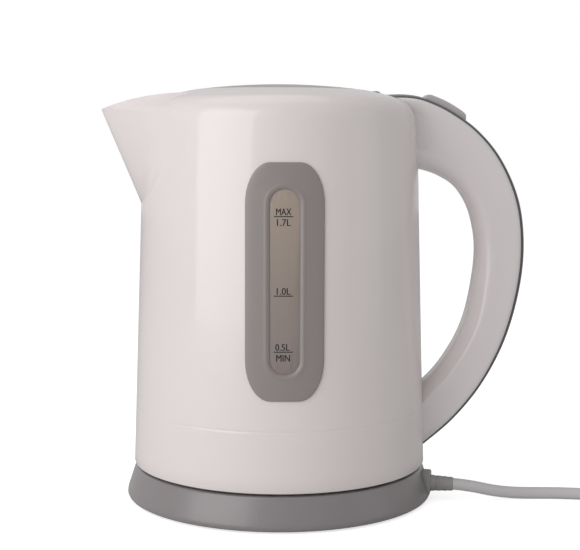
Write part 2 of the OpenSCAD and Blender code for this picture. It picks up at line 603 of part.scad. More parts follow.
// Half of the shell's section, from the finger side out and back along the channel
function shell_half(t) = let (w = grip_w / 2, c = w - edge_r, s = strip_w / 2 + seat, r = w - s, k = edge_r - grip_wall)
    concat([for (a = [0:22.5:90]) [edge_r - edge_r * cos(a), c + edge_r * sin(a)]],
    [for (a = [0, 45, 90]) [t - r + r * sin(a), s + r * cos(a)]],
    [[t - ledge_d, s], [t - ledge_d, s - 2], [t - ledge_d - 2, s - 2], [t - ledge_d - 3.8, w - grip_wall]],
    [for (a = [90:-30:0]) [edge_r - k * cos(a), c + k * sin(a)]]);
function strip_half(t) = concat([[t - ledge_d + seat, strip_w / 2]],
    [for (a = [90:-22.5:22.5]) [t + 0.2 + (strip_crown - 0.2) * cos(a), strip_w / 2 * sin(a)]]);

// The rocker's own frame: its middle on the back, x along the handle and z outwards
rocker_at = bow(back_line[1], back_line[2], back_line[3], back_line[4], 0.82);
rocker_dir = unit(bow(back_line[1], back_line[2], back_line[3], back_line[4], 0.95)
    - bow(back_line[1], back_line[2], back_line[3], back_line[4], 0.65));
rocker_a = atan2(-rocker_dir.y, rocker_dir.x);
pivot_z = -5;
pivot_r = 1.5;
rocker_arc = norm([rocker_l / 2, strip_crown - pivot_z]);
module at_rocker() translate([rocker_at.x, 0, rocker_at.y]) rotate([0, rocker_a, 0]) children();
rocker_crown = 62;                       // radius of the rocker's crowned top
module rocker_form(d, lo, hi, w) rotate([90, 0, 0]) linear_extrude(w, center = true) intersection() {
    translate([0, pivot_z]) circle(r = rocker_arc + d);
    translate([-rocker_arc - 2, lo]) square([2 * rocker_arc + 4, hi - lo]);
    translate([0, hi - rocker_crown]) circle(r = rocker_crown);
}
function web_x(z) = wall_r(z) - 2;

module handle_shell() color("#dcd6d6") difference() {
    union() {
        skin([for (i = [0:stations]) [for (p = both_sides(shell_half(grip_t(i)))) on_grip(i, p.x, p.y)]]);
        // webs that the screws pull against the jug's wall
        for (z = [low_screw_z, top_screw_z])
            translate([web_x(z), -grip_w / 2 + grip_wall - 0.6, z - 6]) cube([6.4, grip_w - 2 * grip_wall + 1.2, 12]);
    }
    jug_solid(seat);
    for (z = [low_screw_z, top_screw_z]) translate([wall_r(z) - 12, 0, z]) rotate([0, 90, 0]) cylinder(r = 1.8, h = 22);
    at_rocker() rotate([90, 0, 0]) translate([0, pivot_z, 0]) cylinder(r = pivot_r + 0.03, h = grip_w - 3, center = true);
}
module handle_strip() color("#6f6d6b") difference() {
    skin([for (i = [0:stations]) [for (p = both_sides(strip_half(grip_t(i)))) on_grip(i, p.x, p.y)]]);
    jug_solid(seat);
    at_rocker() rocker_form(0.4, -6, 8, rocker_w + 0.8);
}
module handle_screws() color("silver") for (z = [low_screw_z, top_screw_z])
    translate([web_x(z) + 6.4, 0, z]) rotate([0, -90, 0]) screw(6, 2.6, 12);
module steam_duct() color("#c9c4c0") difference() {
    translate([wall_r(duct_z) - jug_wall - 1.5, 0, duct_z]) rotate([0, 90, 0]) cylinder(r = duct_r, h = 8.4);
    translate([wall_r(duct_z) - 16, 0, duct_z]) rotate([0, 90, 0]) cylinder(r = duct_r - 1.2, h = 30);
}
switch_x = wall_r(duct_z) + 7;
module switch_bimetal() color("#c08a4a") translate([switch_x - 1, 0, duct_z]) rotate([0, 90, 0]) cylinder(r = 6.5, h = 0.5);
switch_top = rocker_at.y - 10.6;
switch_w = grip_w - 2 * grip_wall - 4 * seat;
switch_z = duct_z - 8.6;
module steam_switch() color("#e8e4da") difference() {
    translate([switch_x - 0.5, -switch_w / 2, switch_z]) cube([rocker_at.x + 5.5 - switch_x, switch_w, switch_top - switch_z]);
    for (s = [-1, 1]) translate([switch_x + 5, s * (switch_w / 2 - 1), duct_z - 6]) cube([8, 4, 6], center = true);
    translate([rocker_at.x - 9, -3.5, switch_top - 2]) cube([9, 7, 4]);
}
// Two-core lead from the steam switch down the handle and under the plate to the control
leads_route = concat([[switch_x + 6, 0, switch_z - 0.9]],
    [for (i = [9:2:21]) on_grip(i, grip_t(i) / 2, 0)],
    [[wall_r(lead_z) + 6, 0, lead_z + 0.6], [wall_r(lead_z) - 1, 0, lead_z], [wall_r(lead_z) - 14, 0, lead_z - 1],
    [control_r + 16, 0, control_z + 12], [control_r + 0.5, 0, control_z + 9]]);
module switch_leads() color("#d0462f") tube(leads_route, lead_d, 8);
module rocker_pin() color("silver") at_rocker() translate([0, 0, pivot_z]) rotate([90, 0, 0])
    cylinder(r = pivot_r, h = grip_w - 3.4, center = true);
module rocker() color("#8b8888") at_rocker() difference() {
    union() {
        rocker_form(0, -2.2, rocker_h, rocker_w);
        translate([-4, -rocker_w / 2 + 1, pivot_z - 2.6]) cube([8, rocker_w - 2, 6]);
        translate([-1.2, -2.5, -10]) cube([2.4, 5, 6]);
    }
    rotate([90, 0, 0]) translate([0, pivot_z, 0]) cylinder(r = pivot_r + run, h = 40, center = true);
}

/* ---------------------------------------------------------------- lid */
lid_top_z = rim_z + lid_proud;
crown_r = (pow(lid_r - 1, 2) + pow(lid_crown, 2)) / (2 * lid_crown);
crown_a = asin((lid_r - 1) / crown_r);
liner_r = mouth_r - play;
liner_z = rim_z - 10;
module lid_top() color("#8a8786") difference() {
    union() {
        rotate_extrude() polygon(concat([for (i = [0:8]) let (a = crown_a * i / 8)
            [crown_r * sin(a), lid_top_z + lid_crown - crown_r * (1 - cos(a))]],
            [[lid_r - 0.3, lid_top_z - 0.3], [lid_r, lid_top_z - 1], [lid_r - 0.9, lid_top_z - lid_t],
            [lid_r - 2.4, lid_top_z - lid_t], [lid_r - 2.6, lid_top_z - 1.8], [lid_r / 2, lid_top_z + lid_crown * 0.7 - 2],
            [0, lid_top_z + lid_crown - 2]]));
        for (i = [0:2]) rotate(60 + i * 120) translate([28, 0, liner_z + 2.1]) cylinder(r = 3, h = 10);
        translate([lid_r - 4, -hinge_w / 2, lid_top_z - lid_t]) cube([hinge_x - lid_r + 1, hinge_w, lid_t - 0.4]);
        translate([lid_r - 4, -hinge_w / 2, hinge_z - 0.5]) cube([hinge_x - lid_r + 4, hinge_w, 3.5]);
        translate([hinge_x, 0, hinge_z]) rotate([90, 0, 0]) cylinder(r = 3, h = hinge_w, center = true);
    }
    for (i = [0:2]) rotate(60 + i * 120) translate([28, 0, liner_z]) cylinder(r = 1.2, h = 9);
    translate([hinge_x, 0, hinge_z]) rotate([90, 0, 0]) cylinder(r = lid_pin_r + run, h = hinge_w + 2, center = true);
    // finger scoop at the front edge
    translate([-lid_r - 3, 0, lid_top_z + 14.6]) sphere(r = 17);
}
module lid_underside() color("#e4dedd") difference() {
    rotate_extrude() polygon([[0, liner_z], [liner_r - 1.5, liner_z], [liner_r, liner_z + 1.5],
        [liner_r, lid_top_z - lid_t + 1], [liner_r - 1.6, lid_top_z - lid_t + 1], [liner_r - 1.8, liner_z + 2],
        [0, liner_z + 2]]);
    for (i = [0:2]) rotate(60 + i * 120) translate([28, 0, liner_z - eps]) {
        cylinder(r = 1.6, h = 4);
        cylinder(r = 3.2, h = eps + 0.8);
    }
    translate([30, -hinge_w / 2 - 1, hinge_z - 1]) cube([20, hinge_w + 2, 10]);
}
module lid_screws() color("silver") for (i = [0:2]) rotate(60 + i * 120)
    translate([28, 0, liner_z + 0.8]) rotate(30 * i) screw(5.6, 2.2, 7);
module lid_pin() color("silver") translate([hinge_x, 0, hinge_z]) rotate([90, 0, 0])
    cylinder(r = lid_pin_r, h = hinge_w + 6.6, center = true);

socket_ring();
socket_contacts();
jug_body();
bottom_cover();
cover_screws();
heating_plate();
plate_seal();
heating_element();
thermostat();
thermostat_screws();
gauge_frame();
gauge_window();
gauge_seal();
spout_filter();
filter_mesh();
handle_shell();
handle_strip();
handle_screws();
steam_duct();
steam_switch();
switch_bimetal();
switch_leads();
rocker_pin();
rocker();
lid_top();
lid_underside();
lid_screws();
lid_pin();
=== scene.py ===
import json
import math

import bmesh
import bpy
from mathutils import Matrix, Vector

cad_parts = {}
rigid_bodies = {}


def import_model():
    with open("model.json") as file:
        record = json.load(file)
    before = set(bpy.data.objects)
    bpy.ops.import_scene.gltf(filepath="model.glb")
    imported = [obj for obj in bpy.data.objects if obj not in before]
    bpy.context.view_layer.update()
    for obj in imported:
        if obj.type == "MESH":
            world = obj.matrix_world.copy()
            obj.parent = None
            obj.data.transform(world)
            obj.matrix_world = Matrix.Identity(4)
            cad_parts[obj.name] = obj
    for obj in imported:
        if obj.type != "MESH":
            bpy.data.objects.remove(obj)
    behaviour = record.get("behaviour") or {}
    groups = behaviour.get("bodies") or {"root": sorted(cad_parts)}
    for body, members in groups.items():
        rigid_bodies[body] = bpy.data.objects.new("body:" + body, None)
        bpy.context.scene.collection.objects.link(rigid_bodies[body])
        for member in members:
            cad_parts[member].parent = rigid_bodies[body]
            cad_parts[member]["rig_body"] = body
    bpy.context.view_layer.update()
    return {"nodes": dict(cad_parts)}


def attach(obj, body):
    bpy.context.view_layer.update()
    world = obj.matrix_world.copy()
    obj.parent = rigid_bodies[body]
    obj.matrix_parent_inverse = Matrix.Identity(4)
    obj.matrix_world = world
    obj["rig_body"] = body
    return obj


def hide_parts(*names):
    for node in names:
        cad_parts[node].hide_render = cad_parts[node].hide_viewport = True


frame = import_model()
scene = bpy.context.scene
nodes = frame["nodes"]
MM = 0.001

# ---------------------------------------------------------------- camera
# A long lens a little above the middle of the kettle, looking slightly down on it, with the jug turned
# a couple of degrees so that the gauge faces just right of the lens.
TURN = math.radians(-2.3)
FILM_W = 36
PICTURE_W, FOCAL = 580, 1300
camera = bpy.data.objects.new("camera", bpy.data.cameras.new("camera"))
camera.data.sensor_fit = "HORIZONTAL"
camera.data.sensor_width = FILM_W
camera.data.lens = FILM_W * FOCAL / PICTURE_W
camera.data.clip_end = 20
camera.matrix_world = (
    Matrix.Rotation(TURN, 4, "Z") @ Matrix.Translation((5.6 * MM, -716 * MM, 195.2 * MM))
    @ Matrix.Rotation(math.radians(90 - 5.93), 4, "X") @ Matrix.Rotation(math.radians(0.25), 4, "Z"))
scene.collection.objects.link(camera)
scene.camera = camera

# ---------------------------------------------------------------- mains lead
# Round two-core lead in a pale grey PVC sheath, about 0.7 m long. It leaves the base straight through its
# strain relief, lies down on the table, and its spare length is wound up and held by a strap.
TABLE = -1.0 * MM
LEAD = 6.4
LEAD_D = LEAD * MM
COIL_AT, COIL_R = (216, 6), 38.2
lead_out = [(86, -20.3, 8), (95, -22.45, 8), (101, -23.7, 7.6), (107, -24.2, 6.7), (114, -23.8, 5.1),
            (122, -22.6, 3.6), (131, -21.4, 2.6), (141, -20.8, 2.25), (154, -21.6, 2.25), (167, -23.8, 2.25),
            (180, -26.7, 2.4), (198, -30.6, 2.8)]
lead_in = [(251, 12, 8.6), (251, 19, 8.1), (251, 27, 7.9), (251, 35, 9.3), (251, 42, 11.7), (251, 48, 13.5),
           (251, 54, 14.2)]


def step(a, b, x):
    """0 below a, 1 above b, and a smooth rise between them."""
    t = min(max((x - a) / (b - a), 0), 1)
    return t * t * (3 - 2 * t)


def coil_point(turn):
    """A point of the coil: a lap outside, a lap inside it, then up into the groove between them."""
    a = math.radians(-90 + 360 * turn)
    r = COIL_R - LEAD * step(0.80, 0.99, turn) + LEAD / 2 * step(1.66, 1.86, turn)
    lift = LEAD / 2 + LEAD * step(1.64, 1.83, turn) - 0.9 * step(2.02, 2.14, turn)
    return (COIL_AT[0] + r * math.cos(a), COIL_AT[1] + r * math.sin(a), lift)


def smooth_line(points, n):
    """The points with n - 1 more between each two, on one smooth curve."""
    p = [Vector(q) for q in points]
    line = []
    for i in range(len(p) - 1):
        a, b, c, d = p[max(i - 1, 0)], p[i], p[i + 1], p[min(i + 2, len(p) - 1)]
        for k in range(n):
            t = k / n
            line.append(0.5 * (2 * b + (c - a) * t + (2 * a - 5 * b + 4 * c - d) * t * t
                               + (3 * b - a - 3 * c + d) * t ** 3))
    return line + [p[-1]]


coil = [coil_point(k / 18) for k in range(41)]
route = smooth_line(lead_out + coil + lead_in, 3)
flex = bpy.data.curves.new("mains_lead", "CURVE")
flex.dimensions = "3D"
flex.bevel_depth = LEAD_D / 2
flex.bevel_resolution = 6
flex.use_fill_caps = True
spline = flex.splines.new("POLY")
spline.points.add(len(route) - 1)
for point, place in zip(spline.points, route):
    point.co = (*(place * MM), 1)
spline.use_smooth = True
mains_lead = bpy.data.objects.new("mains_lead", flex)
scene.collection.objects.link(mains_lead)


def effect(name, inputs, outputs):
    """An empty node group with these inputs, {name: default}, and outputs, {name: socket type}."""
    tree = bpy.data.node_groups.new(name, "ShaderNodeTree")
    for label, value in inputs.items():
        kind = "NodeSocketColor" if isinstance(value, tuple) else "NodeSocketFloat"
        tree.interface.new_socket(name=label, in_out="INPUT", socket_type=kind).default_value = value
    for label, kind in outputs.items():
        tree.interface.new_socket(name=label, in_out="OUTPUT", socket_type=kind)
    return tree, tree.nodes.new("NodeGroupInput").outputs, tree.nodes.new("NodeGroupOutput").inputs


def add(tree, kind, links=None, **settings):
    """A node of that kind with its settings, and its inputs given as values or as other nodes' outputs."""
    node = tree.nodes.new(kind)
    for key, value in settings.items():
        setattr(node, key, value)
    for key, value in (links or {}).items():
        if isinstance(value, bpy.types.NodeSocket):
            tree.links.new(value, node.inputs[key])
        else:
            node.inputs[key].default_value = value
    return node


# Moulded plastic: slow drift of the tone, a fine grain, and handling marks that change its gloss.
moulding, given, out = effect(
    "moulded_surface",
    {"Colour": (0.8, 0.8, 0.8, 1), "Drift": 0.03, "Roughness": 0.35, "Smudge": 0.04, "Grain size": 0.4},
    {"Colour": "NodeSocketColor", "Roughness": "NodeSocketFloat", "Height": "NodeSocketFloat"})
place = add(moulding, "ShaderNodeTexCoord").outputs["Object"]
slow = add(moulding, "ShaderNodeTexNoise", {"Vector": place, "Scale": 14, "Detail": 3}).outputs["Fac"]
spread = add(moulding, "ShaderNodeMath", {0: slow, 1: 0.5}, operation="SUBTRACT").outputs[0]
shift = add(moulding, "ShaderNodeMath", {0: spread, 1: given["Drift"], 2: 1.0},
            operation="MULTIPLY_ADD").outputs[0]
shade = add(moulding, "ShaderNodeVectorMath", {0: given["Colour"], "Scale": shift},
            operation="SCALE").outputs[0]
moulding.links.new(shade, out["Colour"])
marks = add(moulding, "ShaderNodeTexNoise",
            {"Vector": place, "Scale": 45, "Detail": 5, "Roughness": 0.62}).outputs["Fac"]
patch = add(moulding, "ShaderNodeMapRange", {"Value": marks, "From Min": 0.42, "From Max": 0.66}).outputs[0]
rough = add(moulding, "ShaderNodeMath", {0: patch, 1: given["Smudge"], 2: given["Roughness"]},
            operation="MULTIPLY_ADD").outputs[0]
moulding.links.new(rough, out["Roughness"])
fineness = add(moulding, "ShaderNodeMath", {0: 1000.0, 1: given["Grain size"]}, operation="DIVIDE").outputs[0]
grain = add(moulding, "ShaderNodeTexNoise", {"Vector": place, "Scale": fineness, "Detail": 2}).outputs["Fac"]
moulding.links.new(grain, out["Height"])


def srgb(*c):
    """A colour of 0 to 255 as the eye sees it, as the shader's linear colour."""
    shares = [v / 255 for v in c]
    return (*(v / 12.92 if v < 0.04 else ((v + 0.055) / 1.055) ** 2.4 for v in shares), 1)


def moulded(name, colour, rough=0.35, drift=0.03, smudge=0.04, grain=0.4, depth=0.15, **sockets):
    """A material of moulded plastic or rubber; the sockets are set on its shader."""
    made = bpy.data.materials.new(name)
    made.use_nodes = True
    tree = made.node_tree
    shader = tree.nodes["Principled BSDF"]
    surface = add(tree, "ShaderNodeGroup", node_tree=moulding)
    for key, value in {"Colour": srgb(*colour), "Drift": drift, "Roughness": rough, "Smudge": smudge,
                       "Grain size": grain}.items():
        surface.inputs[key].default_value = value
    bump = add(tree, "ShaderNodeBump",
               {"Strength": depth, "Distance": 0.0001, "Height": surface.outputs["Height"]})
    tree.links.new(surface.outputs["Colour"], shader.inputs["Base Color"])
    tree.links.new(surface.outputs["Roughness"], shader.inputs["Roughness"])
    tree.links.new(bump.outputs["Normal"], shader.inputs["Normal"])
    for key, value in sockets.items():
        shader.inputs[key.replace("_", " ")].default_value = value
    return made


def metal(name, colour, rough=0.3, marks=0.1, size=60, stretch=(1, 1, 1)):
    """A metal with fine drawn or turned marks in its gloss."""
    made = bpy.data.materials.new(name)
    made.use_nodes = True
    tree = made.node_tree
    shader = tree.nodes["Principled BSDF"]
    shader.inputs["Metallic"].default_value = 1
    place = add(tree, "ShaderNodeTexCoord").outputs["Object"]
    lines = add(tree, "ShaderNodeMapping", {"Vector": place, "Scale": stretch}).outputs[0]
    noise = add(tree, "ShaderNodeTexNoise", {"Vector": lines, "Scale": size, "Detail": 4}).outputs["Fac"]
    gloss = add(tree, "ShaderNodeMapRange",
                {"Value": noise, "To Min": rough - marks, "To Max": rough + marks}).outputs[0]
    tone = add(tree, "ShaderNodeMapRange", {"Value": noise, "To Min": 0.86, "To Max": 1.06}).outputs[0]
    colour = add(tree, "ShaderNodeVectorMath", {0: srgb(*colour)[:3], "Scale": tone},
                 operation="SCALE").outputs[0]
    bump = add(tree, "ShaderNodeBump", {"Strength": 0.1, "Distance": 0.00005, "Height": noise}).outputs[0]
    for socket, key in ((gloss, "Roughness"), (colour, "Base Color"), (bump, "Normal")):
        tree.links.new(socket, shader.inputs[key])
    return made


def finished(bm, name, material, body, stands_for=(), angle=35):
    """The bmesh as a finished piece with its material, sharp only past the angle, on a body of the model."""
    mesh = bpy.data.meshes.new(name)
    bm.to_mesh(mesh)
    bm.free()
    for face in mesh.polygons:
        face.use_smooth = True
    mesh.set_sharp_from_angle(angle=math.radians(angle))
    piece = bpy.data.objects.new(name, mesh)
    scene.collection.objects.link(piece)
    piece.data.materials.append(material)
    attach(piece, body)
    if stands_for:
        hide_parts(*stands_for)
    return piece


def softened(node, material, round_mm=0.3, angle=35):
    """A node's own shape with its edges rounded, in its finish, standing for the node."""
    bm = bmesh.new()
    bm.from_mesh(nodes[node].data)
    bmesh.ops.remove_doubles(bm, verts=bm.verts, dist=0.004 * MM)
    bmesh.ops.dissolve_limit(bm, angle_limit=math.radians(0.6), verts=bm.verts, edges=bm.edges)
    piece = finished(bm, node + "_dressed", material, nodes[node]["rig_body"], [node], angle)
    if round_mm:
        edge = piece.modifiers.new("rounded", "BEVEL")
        edge.width = round_mm * MM
        edge.segments = 2
        edge.limit_method = "ANGLE"
        edge.angle_limit = math.radians(angle)
        edge.harden_normals = True
        edge.miter_outer = "MITER_ARC"
    return piece


sheath = moulded("lead_sheath", (208, 205, 205), rough=0.42, drift=0.04, smudge=0.06, grain=0.8, depth=0.12)
mains_lead.data.materials.append(sheath)
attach(mains_lead, "base")
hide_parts("cord_run", "cord_coil", "cord_tail")

# ---------------------------------------------------------------- plug and tie
# The moulded plug at the lead's end, its nickelled pins, and the strap that holds the coil.
plug_grey = moulded("plug_plastic", (190, 186, 185), rough=0.45)
nickel = metal("nickel_pins", (205, 203, 198), rough=0.22, marks=0.06, size=300, stretch=(1, 0.1, 1))
strap = moulded("tie_strap", (30, 30, 31), rough=0.5)
plug = softened("plug_body", plug_grey, round_mm=1.0)
pins = softened("plug_pins", nickel, round_mm=0.5)
tie = softened("coil_tie", strap, round_mm=0.2)

# ---------------------------------------------------------------- power base
# Round shell moulded in mid grey, closed from below by a screwed plate with six rubber feet. The post in
# the middle carries the contact rings that feed the jug in any direction.
base_grey = moulded("base_grey", (137, 131, 132), rough=0.36, drift=0.02, smudge=0.03, grain=0.5, depth=0.1,
                    Coat_Weight=0.5, Coat_Roughness=0.22)
under_grey = moulded("under_grey", (118, 114, 113), rough=0.5, drift=0.04,
                     smudge=0.05, grain=0.7, depth=0.3)
rubber = moulded("foot_rubber", (52, 50, 50), rough=0.8, drift=0.08, smudge=0.05, grain=0.6, depth=0.5)
zinc = metal("screw_zinc", (196, 196, 192), rough=0.32, marks=0.08, size=400)
black = moulded("connector_black", (34, 33, 33), rough=0.42, drift=0.05, smudge=0.05, grain=0.5, depth=0.2)
brass = metal("contact_brass", (206, 170, 98), rough=0.28, marks=0.1, size=260, stretch=(1, 1, 0.1))
softened("base_shell", base_grey, round_mm=0.25)
softened("base_plate", under_grey, round_mm=0.25)
softened("base_feet", rubber, round_mm=0.3)
softened("base_screws", zinc, round_mm=0.12)
softened("base_post", black, round_mm=0.25)
softened("post_contacts", brass, round_mm=0.1)
softened("cord_clamp", black, round_mm=0.2)

# ---------------------------------------------------------------- strain relief
# Soft PVC sleeve moulded on the lead: a collar that sits in the base's notch with a flange behind the
# wall, and a tapered, ribbed boot that keeps the lead from bending sharply.
LEAD_TURN = math.radians(-13.3)
relief_grey = moulded("relief_grey", (160, 158, 157), rough=0.55)


def turned(profile, steps, closed=True):
    """A bmesh of a profile of (radius, height) turned all round the upright axis."""
    bm = bmesh.new()
    line = [bm.verts.new((r * MM, 0, z * MM)) for r, z in profile]
    ends = line[1:] + line[:1] if closed else line[1:]
    edges = [bm.edges.new(pair) for pair in zip(line, ends)]
    bmesh.ops.spin(bm, geom=line + edges, cent=(0, 0, 0), axis=(0, 0, 1), angle=math.tau, steps=steps,
                   use_merge=True, use_duplicate=False)
    bmesh.ops.remove_doubles(bm, verts=bm.verts, dist=0.002 * MM)
    bmesh.ops.recalc_face_normals(bm, faces=bm.faces)
    return bm


def block(bm, lo, hi):
    """A box between two corners, added to the bmesh."""
    lo, hi = Vector(lo) * MM, Vector(hi) * MM
    move = Matrix.Translation((lo + hi) / 2) @ Matrix.Diagonal((*(hi - lo), 1))
    return bmesh.ops.create_cube(bm, size=1, matrix=move)["verts"]


boot = [(3.22, 0), (4.9, 0), (4.6, 7.4), (4.4, 8.8), (4.3, 11.2), (4.08, 11.4), (4.06, 12.3),
        (4.18, 12.5), (4.1, 14.6), (3.92, 14.8), (3.9, 15.7), (4.0, 15.9), (3.92, 17.9), (3.76, 18.1),
        (3.74, 19.0), (3.84, 19.2), (3.66, 21.1), (3.22, 21.35)]
bm = turned(boot, 48)
lying = Matrix.Translation((76 * MM, 0, 8 * MM)) @ Matrix.Rotation(math.radians(90), 4, "Y")
bmesh.ops.transform(bm, verts=bm.verts, matrix=lying)
collar = block(bm, (78.4, -5.4, 2.2), (85, 5.4, 14.4))
rims = list(dict.fromkeys(e for v in collar for e in v.link_edges))
bmesh.ops.bevel(bm, geom=rims, offset=0.9 * MM, segments=3, profile=0.5, affect="EDGES", material=-1)
block(bm, (76, -7.4, 4), (78.2, 7.4, 11.6))
bmesh.ops.transform(bm, verts=bm.verts, matrix=Matrix.Rotation(LEAD_TURN, 4, "Z"))
finished(bm, "lead_relief", relief_grey, "base", ["cord_relief"], angle=35)

# ---------------------------------------------------------------- socket under the jug
# Black moulded ring with spring contacts, which turns on the post and lifts off it with the jug.
softened("socket_ring", black, round_mm=0.25)
softened("socket_contacts", brass, round_mm=0.1)

# ---------------------------------------------------------------- jug
# One moulding of glossy white plastic: a tapering round wall with a rounded shoulder and a rim for the
# lid. It is a turned profile with posts added, and with openings cut for the spout and the gauge.
jug_white = moulded("jug_white", (237, 228, 227), rough=0.42, drift=0.012, smudge=0.02, grain=0.5, depth=0.03,
                    Coat_Weight=0.75, Coat_Roughness=0.1)
FOOT_Z, NECK_Z, RIM_Z = 18.6, 205.74, 222.3
FOOT_R, WALL, LEDGE_Z = 80.5, 2.4, 219.7
BEND_Z, ROUND_TOP_Z = 161.74, 218.1
GAUGE_Z = 125.0
SHOULDER, SHOULDER_R = Vector((59.65, 204.52)), 14


def wall_r(z):
    """Outer radius of the wall and the shoulder at a height."""
    if z <= BEND_Z:
        return FOOT_R - 0.03214 * (z - FOOT_Z)
    if z <= NECK_Z:
        return 75.9 - 2.3 * ((z - BEND_Z) / 44) ** 1.6
    if z <= ROUND_TOP_Z:
        return SHOULDER.x + math.sqrt(SHOULDER_R ** 2 - (z - SHOULDER.y) ** 2)
    return 63.04 - 16.7 * (z - ROUND_TOP_Z) / 4.2


def shoulder(r, a0, a1, n):
    """Points of the shoulder's round, at a radius about its centre."""
    return [(SHOULDER.x + r * math.cos(a), SHOULDER.y + r * math.sin(a))
            for a in (math.radians(a0 + (a1 - a0) * k / n) for k in range(n + 1))]


def pill(w, h, a, b, n=10):
    """Points of an upright rounded outline, its corners a wide and b high."""
    line = []
    for k in range(4):
        quarter = math.radians(90 * k + 45)
        middle = math.copysign(w / 2 - a, math.cos(quarter)), math.copysign(h / 2 - b, math.sin(quarter))
        for t in (math.radians(90 * (k + i / n)) for i in range(n + 1)):
            line.append((middle[0] + a * math.cos(t), middle[1] + b * math.sin(t)))
    return line


def prism(bm, outline, a, b, side="front"):
    """An outline pushed from depth a to depth b, facing the gauge's side or the spout's."""
    turn = {"front": lambda u, v, d: (u, -d, v), "spout": lambda u, v, d: (-d, u, v)}[side]
    face = bm.faces.new([bm.verts.new(Vector(turn(u, v, a)) * MM) for u, v in outline])
    push = Vector(turn(0, 0, b - a)) * MM
    pushed = bmesh.ops.extrude_face_region(bm, geom=[face], use_keep_orig=True)
    moved = [v for v in pushed["geom"] if isinstance(v, bmesh.types.BMVert)]
    bmesh.ops.translate(bm, verts=moved, vec=push)
    bmesh.ops.recalc_face_normals(bm, faces=bm.faces)


def rod(bm, radius, length, matrix, segments=28):
    """A round rod about the place and axis of a matrix, added to the bmesh."""
    bmesh.ops.create_cone(bm, cap_ends=True, segments=segments, radius1=radius * MM, radius2=radius * MM,
                          depth=length * MM, matrix=matrix)


# The profile runs up the outside past a fine groove, over the rim, and down the inside past the lid's
# ledge, the shoulder and the flange that carries the heating plate. A block by the rim holds the lid's
# hinge, and under the flange stand three long posts for the cover and three short ones for the control.
GROOVE_R = wall_r(49.9) - 0.09
outside = [(79.2, FOOT_Z), (80.1, 18.72), (80.45, 19.3)]
outside += [(wall_r(z), z) for z in (26, 34, 42, 48.6, 49.4)] + [(GROOVE_R, 49.8), (GROOVE_R, 50)]
outside += [(wall_r(z), z) for z in (50.4, 51.2, 58, *range(66, 157, 10), 163, 170, 178, 186, 194, 200)]
outside += shoulder(SHOULDER_R, 5, 76, 18)
outside += [(60.4, 218.92), (57.4, 219.78), (54.2, 220.58), (51, 221.28), (48.6, 221.78), (47.3, 222.02),
            (46.65, 221.9), (46.34, 221.4), (46.3, 220.4)]
inside = [(46.3, LEDGE_Z + 0.3), (46, LEDGE_Z), (43.3, LEDGE_Z), (43, LEDGE_Z - 0.3), (43, LEDGE_Z - 2.2),
          (47.9, LEDGE_Z - 2.2)]
inside += shoulder(SHOULDER_R - WALL, 76, 5, 12)
inside += [(wall_r(z) - WALL, z) for z in (196, 186, 176, 166, 150, 130, 110, 90, 70, 63.6)]
inside += [(wall_r(62.3) - WALL - 1.2, 62.3), (60.4, 62.3), (60, 61.9), (60, 60.2), (60.3, 59.9),
           (wall_r(60) - WALL, 59.9), (wall_r(40) - WALL, 40), (78.1, 20), (78.3, 18.9)]
bm = turned(outside + inside, 180)
block(bm, (44.5, -12.6, 212.9), (57.5, 12.6, 217.9))
for k in range(3):
    around = Matrix.Rotation(math.radians(60 + 120 * k), 4, "Z")
    between = Matrix.Rotation(math.radians(60), 4, "Z") @ Vector((71.5, 0, 0))
    for at, lo, hi in ((Vector((72.5, 0, 0)), 26.8, 60), (between, 58.4, 60)):
        rod(bm, 4, hi - lo, around @ Matrix.Translation((at.x * MM, at.y * MM, (lo + hi) / 2 * MM)))

# Cut out: the opening behind the spout, the slot behind the gauge, and room for the lid's knuckle.
cuts = bmesh.new()
prism(cuts, [(-9, 172.9), (9, 172.9), (17, 184.9), (21, 194.9), (21, 198.9), (-21, 198.9), (-21, 194.9),
             (-17, 184.9)], 60, 90, "spout")
prism(cuts, [(u, v + GAUGE_Z) for u, v in pill(20.6, 100.6, 10.29, 10.29)], 60, 90)
block(cuts, (42, -9.3, 215.3), (55.2, 9.3, 229))


def carved(bm, cuts, name):
    """The bmesh with the solids of another taken out of it."""
    pair = []
    for made in (bm, cuts):
        mesh = bpy.data.meshes.new(name)
        made.to_mesh(mesh)
        made.free()
        pair.append(bpy.data.objects.new(name, mesh))
        scene.collection.objects.link(pair[-1])
    cut = pair[0].modifiers.new("cut", "BOOLEAN")
    cut.object, cut.operation, cut.solver = pair[1], "DIFFERENCE", "EXACT"
    cut.use_self = True
    shape = bpy.data.meshes.new_from_object(pair[0].evaluated_get(bpy.context.evaluated_depsgraph_get()))
    result = bmesh.new()
    result.from_mesh(shape)
    for piece in pair:
        bpy.data.objects.remove(piece)
    return result


finished(carved(bm, cuts, "jug_cut"), "jug_wall", jug_white, "jug", ["jug_body"], angle=40)

# ---------------------------------------------------------------- spout
# Moulded in one with the wall: a V that opens out of it, with a rounded lip and an open channel. It is
# a grid over angle and height, pushed out to the spout's radius and given the thickness of the wall.
TIP_R, TIP_Z, LEAN = 97.4, 211.3, 0.4226
SPOUT_FOOT_Z, SPOUT_SPAN, SPOUT_WALL = 158, math.radians(43), 1.9


def lip_z(x):
    """Height of the lip over a point x on the way to the spout."""
    return 82.76 + math.sqrt(137 ** 2 - (x + 50) ** 2)


